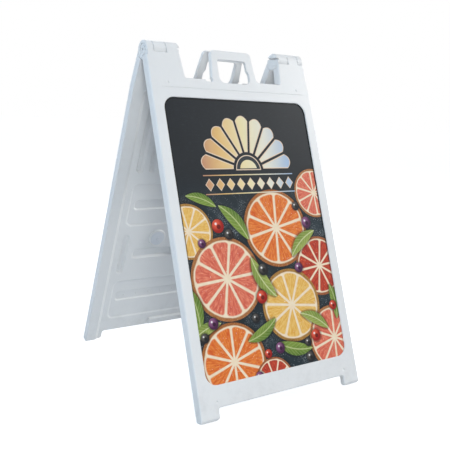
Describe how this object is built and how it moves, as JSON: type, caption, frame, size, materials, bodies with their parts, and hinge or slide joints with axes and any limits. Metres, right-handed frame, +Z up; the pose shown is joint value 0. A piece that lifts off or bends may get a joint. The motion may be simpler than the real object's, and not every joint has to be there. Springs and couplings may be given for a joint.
{
  "type": "folding sandwich board",
  "caption": "Free-standing folding pavement sign: two moulded panels hinged at the shoulders, with carrying handles and a lipped slot in each face for a printed board.",
  "frame": {"origin": "on the ground, midway between the four feet, under the hinge axis", "axes": "+Z up; X along the hinge, +X to the right seen from the front; the front panel stands at -Y and the rear one at +Y"},
  "size_m": [0.635, 0.8332, 1.0895],
  "materials": {
    "panel_plastic": "cool white blow-moulded plastic with a fine mould texture",
    "board_plastic": "fluted plastic sheet",
    "print_film": "satin printed film",
    "pin_steel": "zinc-plated rod",
    "cap_plastic": "push-in plastic cap"
  },
  "bodies": {
    "front": {"front_panel": "panel_plastic", "front_sign_board": "board_plastic", "front_sign_print": "print_film", "left_hinge_pin": "pin_steel", "right_hinge_pin": "pin_steel", "front_filler_cap": "cap_plastic"},
    "rear": {"rear_panel": "panel_plastic", "rear_sign_board": "board_plastic", "rear_sign_print": "print_film", "rear_filler_cap": "cap_plastic"}
  },
  "joints": [
    {"name": "fold", "type": "hinge", "parent": "front", "child": "rear", "pos_m": [0, 0, 1.06025], "axis": [1, 0, 0], "range_deg": [-40.4, 0]}
  ]
}
